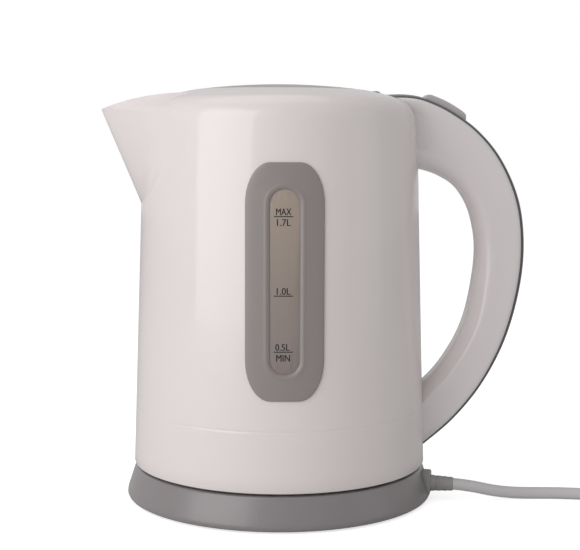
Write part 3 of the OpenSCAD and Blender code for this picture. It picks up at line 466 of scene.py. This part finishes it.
def spout_r(angle, z):
    """Radius of the spout's outside: two flat sides that meet in a small nose, let softly into the wall."""
    nose = TIP_R + LEAN * (z - TIP_Z)
    wall = wall_r(min(z, RIM_Z))
    seam = math.radians(23 + 7.5 * step(180, 210, z)) * max(min((z - 160.2) / 20, 1), 0.01) ** 0.5
    root = wall_r(min(z, 206))
    half = math.atan2(root * math.sin(seam), max(nose - root * math.cos(seam), 0.05))
    if z > TIP_Z:
        half += math.radians(1.5) * (TIP_Z - z)
    blunt = 0.05 + 0.0016 * max(TIP_Z - z, 0)
    a = math.sqrt(angle ** 2 + blunt ** 2) - blunt
    past = max(a + half - math.radians(90), 0)
    side = nose * math.sin(half) / math.sin(min(a + half, math.radians(90))) - 26 * past
    side -= 60 * max(abs(angle) - 0.66, 0) ** 1.5 + 0.5 * max(161 - z, 0)
    wall -= 0.35
    soft = (0.5 + min(0.07 * max(214 - z, 0), 1.8)) * (0.25 + 0.75 * step(158, 172, z))
    h = max(soft - abs(side - wall), 0)
    return max(side, wall) + h * h / (4 * soft)


bm = bmesh.new()
bmesh.ops.create_grid(bm, x_segments=96, y_segments=56, size=1)
for v in bm.verts:
    angle = math.copysign(abs(v.co.x) ** 1.35, v.co.x) * SPOUT_SPAN
    top = 214.0
    for _ in range(8):
        top = lip_z(-spout_r(angle, top) * math.cos(angle))
    z = SPOUT_FOOT_Z + (top - SPOUT_FOOT_Z) * (v.co.y + 1) / 2
    r = spout_r(angle, z)
    v.co = Vector((-r * math.cos(angle), -r * math.sin(angle), z)) * MM
bmesh.ops.recalc_face_normals(bm, faces=bm.faces)
tip = max(bm.faces, key=lambda f: -f.calc_center_median().x)
if tip.normal.x > 0:
    bmesh.ops.reverse_faces(bm, faces=bm.faces)
spout = finished(bm, "jug_spout", jug_white, "jug", ["jug_body"], angle=50)
shell = spout.modifiers.new("wall", "SOLIDIFY")
shell.thickness, shell.offset = SPOUT_WALL * MM, -1
round_lip = spout.modifiers.new("lip", "BEVEL")
round_lip.width, round_lip.segments, round_lip.limit_method = 0.7 * MM, 3, "ANGLE"
round_lip.angle_limit = math.radians(55)
round_lip.harden_normals = True

# ---------------------------------------------------------------- bottom cover and heater
# White plastic cover screwed on from below. Over it a steel heating plate is clamped against a silicone
# seal, with the alloy element under it and the control block that cuts the power when it boils dry.
cover_white = moulded("cover_white", (222, 216, 214), rough=0.42, drift=0.03,
                      smudge=0.05, grain=0.6, depth=0.2)
softened("bottom_cover", cover_white, round_mm=0.25)
softened("cover_screws", zinc, round_mm=0.12)
steel = metal("plate_steel", (205, 205, 203), rough=0.24, marks=0.1, size=220)
silicone = moulded("silicone", (214, 210, 204), rough=0.6)
alloy = metal("element_alloy", (168, 168, 170), rough=0.42, marks=0.1, size=180)
cream = moulded("control_cream", (226, 220, 206), rough=0.5)
softened("heating_plate", steel, round_mm=0.2)
softened("plate_seal", silicone, round_mm=0.2)
softened("heating_element", alloy, round_mm=0.15)
softened("thermostat", cream, round_mm=0.3)
softened("thermostat_screws", zinc, round_mm=0.12)

# ---------------------------------------------------------------- gauge
# Water gauge on the side of the jug: a grey moulded frame, bent to the wall, with a bead round a smoky
# clear window that sits in a silicone seal.
gauge_grey = moulded("gauge_grey", (146, 138, 136), rough=0.4, drift=0.02, smudge=0.03, grain=0.5, depth=0.1,
                     Coat_Weight=0.3, Coat_Roughness=0.25)
FRAME_W, FRAME_H, CORNER_W, CORNER_H = 39.5, 118.7, 12.4, 20.5
WINDOW_W, WINDOW_H = 15.6, 92.6
PER_CORNER, ON_TOP = 11, 4


def on_wall(u, v, d):
    """The point u across and v up from the gauge's middle, d out from the jug's wall."""
    z = GAUGE_Z + v
    return Vector((u, -math.sqrt((wall_r(z) + d) ** 2 - u * u), z)) * MM


def wrapped(bm, rings):
    """Closed outlines (width, height, corner width, corner height, depth) laid on the wall and bridged.

    A straight top or bottom gets points between its ends too, so that it bends with the wall.
    """
    first = last = None
    for w, h, a, b, depth in rings:
        flat = pill(w, h, a, b)
        outline = []
        for k, (u, v) in enumerate(flat):
            outline.append((u, v))
            nu, nv = flat[(k + 1) % len(flat)]
            if abs(v - nv) < 0.01 and abs(u - nu) > 0.02 and k % PER_CORNER == PER_CORNER - 1:
                outline += [(u + (nu - u) * i / (ON_TOP + 1), v) for i in range(1, ON_TOP + 1)]
        while len(outline) < 4 * PER_CORNER + 2 * ON_TOP:
            outline.append(outline[-1])
        ring = [bm.verts.new(on_wall(u, v, depth)) for u, v in outline]
        edges = [bm.edges.new((ring[k], ring[(k + 1) % len(ring)])) for k in range(len(ring))]
        if last:
            bmesh.ops.bridge_loops(bm, edges=last + edges)
        first, last = first or edges, edges
    bmesh.ops.bridge_loops(bm, edges=last + first)
    bmesh.ops.remove_doubles(bm, verts=bm.verts, dist=0.001 * MM)
    bmesh.ops.recalc_face_normals(bm, faces=bm.faces)


def round_ring(grow, depth):
    """An outline that runs round the window at a distance, with full-round ends."""
    w, h = WINDOW_W + 2 * grow, WINDOW_H + 2 * grow
    return (w, h, w / 2 - 0.3, w / 2 - 0.3, depth)


def frame_ring(inset, depth):
    """The frame's own outline moved in."""
    return (FRAME_W - 2 * inset, FRAME_H - 2 * inset, CORNER_W - inset * 0.6, CORNER_H - inset * 0.6, depth)


bm = bmesh.new()
sides = [frame_ring(*at) for at in ((0, -0.3), (0, 0.55), (0.12, 0.85), (0.4, 1.04), (0.9, 1.1), (4, 1.1))]
bead = [round_ring(*at) for at in ((3.2, 1.1), (2.7, 1.12), (2.3, 1.22), (1.8, 1.3), (1.25, 1.2), (0.7, 0.95),
                                   (0.15, 0.62), (-0.2, 0.3), (-0.3, 0.04))]
opening = [round_ring(*at) for at in ((0, 0), (0, -2.4), (2.4, -2.4), (2.4, -0.3))]
wrapped(bm, sides + bead + opening)
finished(bm, "gauge_frame_rim", gauge_grey, "jug", ["gauge_frame"], angle=60)

# The window is a little darker and cooler low down than at its top.
smoke = moulded("gauge_clear", (156, 144, 133), rough=0.3, drift=0.04, smudge=0.03, grain=0.5, depth=0.04,
                Coat_Weight=0.5, Coat_Roughness=0.12)
tree = smoke.node_tree
place = add(tree, "ShaderNodeTexCoord").outputs["Object"]
height = add(tree, "ShaderNodeSeparateXYZ", {0: place}).outputs["Z"]
level = add(tree, "ShaderNodeMapRange", {"Value": height, "From Min": 0.085, "From Max": 0.165}).outputs[0]
tint = add(tree, "ShaderNodeMix", {"Factor": level}, data_type="RGBA")
tint.inputs["A"].default_value = srgb(143, 131, 128)
tint.inputs["B"].default_value = srgb(167, 152, 139)
group = [n for n in tree.nodes if n.type == "GROUP"][0]
tree.links.new(tint.outputs["Result"], group.inputs["Colour"])
softened("gauge_window", smoke, round_mm=0.25)
softened("gauge_seal", silicone, round_mm=0.15)

# The level marks are printed on the window: litres, their lines, and the highest and lowest fill. Each
# word is laid twice, a little apart, which makes its strokes bolder.
LETTER_H, LINE_W, LINE_H = 3.35, 9.5, 0.48
words = (("MAX", -0.66, 7.5, 158.3), ("1.7L", -0.6, 6.8, 153.0), ("1.0L", -0.6, 6.8, 119.0),
         ("0.5L", -1.1, 7.1, 91.1), ("MIN", -0.8, 6.8, 85.7))
ink = moulded("print_black", (24, 20, 18), rough=0.5, drift=0.05, smudge=0.02, grain=0.3, depth=0.05)
bm = bmesh.new()
for word, middle, wide, low in words:
    text = bpy.data.curves.new(word, "FONT")
    text.body = word
    text.size = 1
    text.resolution_u = 3
    letters = bpy.data.objects.new(word, text)
    scene.collection.objects.link(letters)
    flat = bpy.data.meshes.new_from_object(letters.evaluated_get(bpy.context.evaluated_depsgraph_get()))
    bpy.data.objects.remove(letters)
    xs, ys = [v.co.x for v in flat.vertices], [v.co.y for v in flat.vertices]
    places = [(middle + wide * ((x - min(xs)) / (max(xs) - min(xs)) - 0.5),
               low + LETTER_H * (y - min(ys)) / (max(ys) - min(ys))) for x, y in zip(xs, ys)]
    for shift, proud in ((-0.07, 0.03), (0.07, 0.045)):
        for v, (u, z) in zip(flat.vertices, places):
            v.co = on_wall(u + shift, z - GAUGE_Z, proud)
        bm.from_mesh(flat)
for z in (157.6, 118.3, 90.4):
    strip = bmesh.ops.create_grid(bm, x_segments=8, y_segments=1, size=1)["verts"]
    for v in strip:
        v.co = on_wall(-0.7 + LINE_W / 2 * v.co.x, z - GAUGE_Z + LINE_H / 2 * v.co.y, 0.03)
bmesh.ops.triangulate(bm, faces=bm.faces)
for f in bm.faces:
    f.normal_update()
    if f.normal.y > 0:
        f.normal_flip()
finished(bm, "level_marks", ink, "jug", angle=30)

# ---------------------------------------------------------------- filter
# Limescale filter behind the spout: a nylon frame with a woven mesh, clipped into the wall's opening.
nylon = moulded("filter_nylon", (225, 221, 218), rough=0.5)
softened("spout_filter", nylon, round_mm=0.2)
softened("filter_mesh", nylon, round_mm=0)

# ---------------------------------------------------------------- handle
# Open D grip: a white channel moulding that runs out of the shoulder and back into the foot. It blends into
# the wall, with a soft roll on the finger side, and two screws behind the strip pull it against the jug.
handle_white = moulded("handle_white", (234, 227, 227), rough=0.42, drift=0.012, smudge=0.02,
                       grain=0.5, depth=0.03, Coat_Weight=0.75, Coat_Roughness=0.12)
NECK_R, REACH, INNER_REACH = 73.6, 132.7, 108.5
HALF_W, SIDE_WALL = 13.0, 2.6
FINGER_R, EDGE_R, LEDGE_Y, STRIP_Y = 9, 2.4, 10.6, 10.5
MIDDLE_Z, SCREW_ZS, SUNK = 125, (42.6, 186.74), 1.2
back_line = [(-0.281, 1.067), (-0.095, 1.068), (0.0745, 1.0585), (0.308, 1.0254), (0.565, 0.9677),
             (0.782, 0.8854), (0.944, 0.7716), (1, 0.647), (0.9695, 0.514), (0.849, 0.366), (0.646, 0.235),
             (0.386, 0.13), (0.1, 0.05), (-0.061, 0.01)]
finger_line = [(-0.332, 0.861), (-0.046, 0.862), (0.166, 0.8566), (0.41, 0.84), (0.662, 0.8085),
               (0.857, 0.7534), (0.963, 0.687), (1, 0.623), (0.9685, 0.546), (0.868, 0.4457),
               (0.708, 0.365), (0.447, 0.2853), (0.209, 0.234), (-0.103, 0.177)]


def grip_curve(shares, reach):
    """One side of the grip as a smooth line, from shares of its reach and of the wall's height."""
    return smooth_line([(NECK_R + (reach - NECK_R) * u, 0, FOOT_Z + (NECK_Z - FOOT_Z) * v)
                        for u, v in shares], 9)


backs, fingers = grip_curve(back_line, REACH), grip_curve(finger_line, INNER_REACH)


def rounded(r, c_n, c_y, a0, a1, n):
    """Points of a corner of the section about its centre, from angle a0 to a1."""
    return [(c_n - r * math.cos(a), c_y + r * math.sin(a))
            for a in (math.radians(a0 + (a1 - a0) * k / n) for k in range(n + 1))]


def shell_half(t, z):
    """Half the channel's section where the grip is t deep: round high up, with a crisper edge low down."""
    crisp = rounded(4, 4, 3.2, 0, 45, 6) + [(4.35, 9.35)] + rounded(EDGE_R, 9.1, LEDGE_Y, 45, 90, 6)
    full = rounded(FINGER_R, FINGER_R, 4, 0, 90, 13)
    soft = step(70, 150, z)
    half = [(0, 0)]
    half += [(a[0] + (b[0] - a[0]) * soft, a[1] + (b[1] - a[1]) * soft) for a, b in zip(crisp, full)]
    top = t - 0.1 - 0.8 * (1 - step(140, 200, z))
    half += [(FINGER_R + (top - EDGE_R - FINGER_R) * k / 8, HALF_W) for k in range(1, 8)]
    half += [(top - EDGE_R + y, LEDGE_Y - n) for n, y in rounded(EDGE_R, 0, 0, 0, 90, 5)]
    half += [(t - 2.4, LEDGE_Y), (t - 2.4, 8.6), (t - 4.4, 8.6), (t - 6.2, HALF_W - SIDE_WALL)]
    half += rounded(FINGER_R - SIDE_WALL, FINGER_R, 4, 90, 0, 6)
    return half + [(SIDE_WALL, 0)]


def strip_half(t, z):
    """Half the strip's section: flat below, crowned above."""
    half = [(t - 2.3, 0), (t - 2.3, STRIP_Y - 0.3), (t - 2.0, STRIP_Y), (t - 0.1, STRIP_Y)]
    crown = [math.radians(86 - 86 * k / 12) for k in range(13)]
    return half + [(t + 0.2 + 1.6 * math.cos(a), STRIP_Y * math.sin(a)) for a in crown]


def flare(n, t, away, z):
    """How much wider the grip is near the wall: a roll on the finger side high up, a soft fillet low down."""
    if z < MIDDLE_Z:
        return 2.8 * (1 - step(t - 7, t - 2, n)) * max(1 - away / 15, 0) ** 2
    return 4.9 * (1 - step(7.5, 14.5, n)) * max(1 - away / 22, 0) ** 2


def pinch(n, t, away, z):
    """How much the sides draw in beside the wall, above the roll, as a pocket for the thumb."""
    if z < MIDDLE_Z:
        return 0
    return 3.7 * step(9.5, 15, n) * (1 - step(t - 10, t - 3, n)) * max(1 - away / 21, 0) ** 2


def swept(section, widened):
    """A closed section carried along the grip; what would reach into the jug ends just inside its wall."""
    halves = [section((b - f).length, f.z) for f, b in zip(fingers, backs)]
    rings = [h + [(n, -y) for n, y in reversed(h) if y > 0] for h in halves]
    bm = bmesh.new()
    around = len(rings[0])
    bmesh.ops.create_grid(bm, x_segments=len(rings) - 1, y_segments=around, size=1)
    for v in bm.verts:
        i = round((v.co.x + 1) / 2 * (len(rings) - 1))
        n, y = rings[i][round((v.co.y + 1) / 2 * around) % around]
        out = (backs[i] - fingers[i]).normalized()
        p = fingers[i] + out * n
        away = max(p.x - wall_r(min(p.z, 218)), 0)
        t = (backs[i] - fingers[i]).length
        if widened:
            shrink = pinch(n, t, away, p.z)
            y += math.copysign(flare(n, t, away, p.z) * abs(y) / HALF_W, y)
            if abs(y) <= 11:
                shrink = max(shrink - 1.2, 0) if abs(y) > 9 else 0
            y -= math.copysign(shrink, y)
        p.y = y
        r, deepest = math.hypot(p.x, p.y), wall_r(p.z) - SUNK
        if r < deepest:
            p.x, p.y = p.x * deepest / r, p.y * deepest / r
        v.co = p * MM
    bmesh.ops.remove_doubles(bm, verts=bm.verts, dist=0.004 * MM)
    bmesh.ops.holes_fill(bm, edges=[e for e in bm.edges if e.is_boundary], sides=0)
    bmesh.ops.recalc_face_normals(bm, faces=bm.faces)
    return bm


bm = swept(shell_half, True)
for z in SCREW_ZS:
    block(bm, (wall_r(z) - SUNK, -9, z - 6), (wall_r(z) + 4.4, 9, z + 6))
finished(bm, "handle_grip", handle_white, "jug", ["handle_shell"], angle=38)

# The strip along the back snaps over the channel's ledges and hides the screws. Its opening for the
# rocker is round about the rocker's pin.
# The strip's grey is set darker than the trim's lit grey. It is partly the strip's own grey and partly
# painted shade, taken from the shaded seam and side along the handle's back.
strip_grey = moulded("strip_grey", (96, 94, 95), rough=0.38, drift=0.02, smudge=0.04, grain=0.5, depth=0.1,
                     Coat_Weight=0.3, Coat_Roughness=0.2)
ROCKER_AT = Matrix.Translation((89.18 * MM, 0, 211.94 * MM)) @ Matrix.Rotation(math.radians(27.47), 4, "Y")
PIVOT_Z, KEY_R, KEY_W, GAP = -5.0, 14.23, 14, 0.4
on_pin = Matrix.Translation((0, 0, PIVOT_Z * MM)) @ Matrix.Rotation(math.radians(90), 4, "X")
cuts = bmesh.new()
rod(cuts, KEY_R + GAP, KEY_W + 2 * GAP, ROCKER_AT @ on_pin, 72)
finished(carved(swept(strip_half, False), cuts, "strip_cut"), "handle_trim", strip_grey, "jug",
         ["handle_strip"], angle=35)
softened("handle_screws", zinc, round_mm=0.12)

# ---------------------------------------------------------------- steam switch
# Inside the handle: a nylon duct brings steam from the shoulder to the switch, where a bronze bimetal disc
# snaps over and trips the rocker. Its two-core lead runs down the handle to the control block.
softened("steam_duct", nylon, round_mm=0.2)
softened("steam_switch", cream, round_mm=0.3)
bronze = metal("bimetal", (190, 140, 90), rough=0.3)
softened("switch_bimetal", bronze, round_mm=0.1)
wire = moulded("lead_wire", (196, 62, 48), rough=0.45)
softened("switch_leads", wire, round_mm=0)

# ---------------------------------------------------------------- rocker
# On and off rocker of the steam switch: a crowned grey key whose ends are arcs about its steel pin, with a
# hub for the pin and a finger below that trips the switch.
rocker_grey = moulded("rocker_grey", (192, 187, 190), rough=0.42, drift=0.02, smudge=0.04,
                      grain=0.5, depth=0.1, Coat_Weight=0.3, Coat_Roughness=0.25)
CROWN_R, KEY_TOP = 62.0, 4.6
ends = [(math.sqrt(KEY_R ** 2 - (z - PIVOT_Z) ** 2), z) for z in (-2.2, -0.8, 0.6, 2.0, 3.0)]
tops = [(x, KEY_TOP - CROWN_R + math.sqrt(CROWN_R ** 2 - x * x))
        for x in (11.3, 9, 6, 3, 0, -3, -6, -9, -11.3)]
bm = bmesh.new()
prism(bm, ends + tops + [(-x, z) for x, z in reversed(ends)], KEY_W / 2, -KEY_W / 2)
rims = [e for e in bm.edges if e.is_manifold and e.calc_face_angle(0) > math.radians(38)
        and e.verts[0].co.z > -2.1 * MM]                # all but the rims underneath
bmesh.ops.bevel(bm, geom=rims, offset=1.15 * MM, segments=4, profile=0.5, affect="EDGES", material=-1)
block(bm, (-4, -6, -7.6), (4, 6, -1.6))
block(bm, (-1.2, -2.5, -10), (1.2, 2.5, -4))
cuts = bmesh.new()
rod(cuts, 1.56, 40, on_pin, 40)
bm = carved(bm, cuts, "rocker_cut")
bmesh.ops.transform(bm, matrix=ROCKER_AT, verts=bm.verts)
finished(bm, "rocker_key", rocker_grey, "rocker", ["rocker"], angle=50)
pin_steel = metal("pin_steel", (200, 200, 200), rough=0.25)
softened("rocker_pin", pin_steel, round_mm=0.15)

# ---------------------------------------------------------------- lid
# Flat grey lid, slightly crowned, with a knuckle on the handle's side that turns on a steel pin, a scoop
# for a finger on the spout's side, and a white underside held by three screws in bosses.
lid_grey = moulded("lid_grey", (150, 145, 145), rough=0.36, drift=0.02, smudge=0.04, grain=0.5, depth=0.1,
                   Coat_Weight=0.4, Coat_Roughness=0.2)
HINGE_X, HINGE_Z, SCOOP_R = 51.5, 218.7, 17
crown = [(r, 225.1 - 2.85 * (r / 45) ** 2) for r in (0, 6, 12, 18, 24, 30, 35, 39, 42, 43.8, 44.8)]
edge = [(45.4, 222.08), (45.8, 221.8), (46, 221.3), (45.6, 220.4), (45.2, 220.05), (44.9, 220)]
under = [(43.7, 220), (43.5, 220.2), (43.4, 221.1), (36, 221.9), (23, 222.5), (0, 223)]
bm = turned(crown + edge + under, 160, closed=False)
block(bm, (42, -9, 219.9), (49, 9, 221.2))
block(bm, (42, -9, 218.2), (51.5, 9, 221.6))
knuckle = Matrix.Translation((HINGE_X * MM, 0, HINGE_Z * MM)) @ Matrix.Rotation(math.radians(90), 4, "X")
rod(bm, 3, 18, knuckle, 40)
for k in range(3):
    around = Matrix.Rotation(math.radians(60 + 120 * k), 4, "Z")
    rod(bm, 3, 8, around @ Matrix.Translation((28 * MM, 0, 218.5 * MM)))
cuts = bmesh.new()
scoop = Matrix.Translation((-49 * MM, 0, 237.6 * MM))
bmesh.ops.create_icosphere(cuts, subdivisions=5, radius=SCOOP_R * MM, matrix=scoop)
finished(carved(bm, cuts, "lid_cut"), "lid_cap", lid_grey, "lid", ["lid_top"], angle=35)
softened("lid_underside", cover_white, round_mm=0.3)
softened("lid_screws", zinc, round_mm=0.12)
softened("lid_pin", pin_steel, round_mm=0.15)

# ---------------------------------------------------------------- studio
# A wide pale floor, three large soft lamps, and a white sky that is dimmer as a light than as a backdrop.
FLOOR_X, FLOOR_Y = 4, 3
bm = bmesh.new()
for x, y in ((-FLOOR_X, -FLOOR_Y), (FLOOR_X, -FLOOR_Y), (FLOOR_X, FLOOR_Y), (-FLOOR_X, FLOOR_Y)):
    bm.verts.new((x, y, TABLE))
bm.faces.new(bm.verts)
mesh = bpy.data.meshes.new("floor")
bm.to_mesh(mesh)
bm.free()
floor = bpy.data.objects.new("floor", mesh)
scene.collection.objects.link(floor)
paper = bpy.data.materials.new("paper")
paper.use_nodes = True
tree = paper.node_tree
shader = tree.nodes["Principled BSDF"]
shader.inputs["Base Color"].default_value = (0.8, 0.8, 0.8, 1)
shader.inputs["Roughness"].default_value = 0.9
shader.inputs["Specular IOR Level"].default_value = 0.1
ray = add(tree, "ShaderNodeLightPath").outputs
seen = add(tree, "ShaderNodeMath", {0: ray["Is Camera Ray"], 1: 0.72}, operation="MULTIPLY").outputs[0]
shader.inputs["Emission Color"].default_value = (1, 1, 1, 1)
tree.links.new(seen, shader.inputs["Emission Strength"])
mesh.materials.append(paper)

world = bpy.data.worlds.new("studio")
scene.world = world
world.use_nodes = True
tree = world.node_tree
sky = tree.nodes["Background"]
ray = add(tree, "ShaderNodeLightPath").outputs
gloss = add(tree, "ShaderNodeMapRange",
            {"Value": ray["Is Glossy Ray"], "To Min": 0.39, "To Max": 0.62}).outputs[0]
clear = add(tree, "ShaderNodeMath", {0: ray["Is Camera Ray"], 1: ray["Is Transmission Ray"]},
            operation="MAXIMUM").outputs[0]
strength = add(tree, "ShaderNodeMapRange", {"Value": clear, "To Min": gloss, "To Max": 1.0}).outputs[0]
sky.inputs["Color"].default_value = (1, 1, 1, 1)
tree.links.new(strength, sky.inputs["Strength"])


def lamp(name, power, size, place, aim, tall=None):
    """A soft rectangular lamp at a place, facing a point."""
    light = bpy.data.objects.new(name, bpy.data.lights.new(name, "AREA"))
    light.data.energy = power
    light.data.shape = "RECTANGLE"
    light.data.size = size
    light.data.size_y = tall or size
    light.location = place
    light.rotation_euler = (Vector(aim) - Vector(place)).to_track_quat("-Z", "Y").to_euler()
    scene.collection.objects.link(light)


lamp("softbox_left", 7.2, 1.0, (-0.80, -0.74, 0.56), (0, 0, 0.3), 1.15)
lamp("overhead", 1.6, 0.9, (-0.1, 0.2, 1.2), (0, 0, 0.1))
lamp("right_fill", 0.5, 0.5, (1.0, -0.35, 0.4), (0, 0, 0.11), 0.9)

scene.view_settings.view_transform = "Standard"
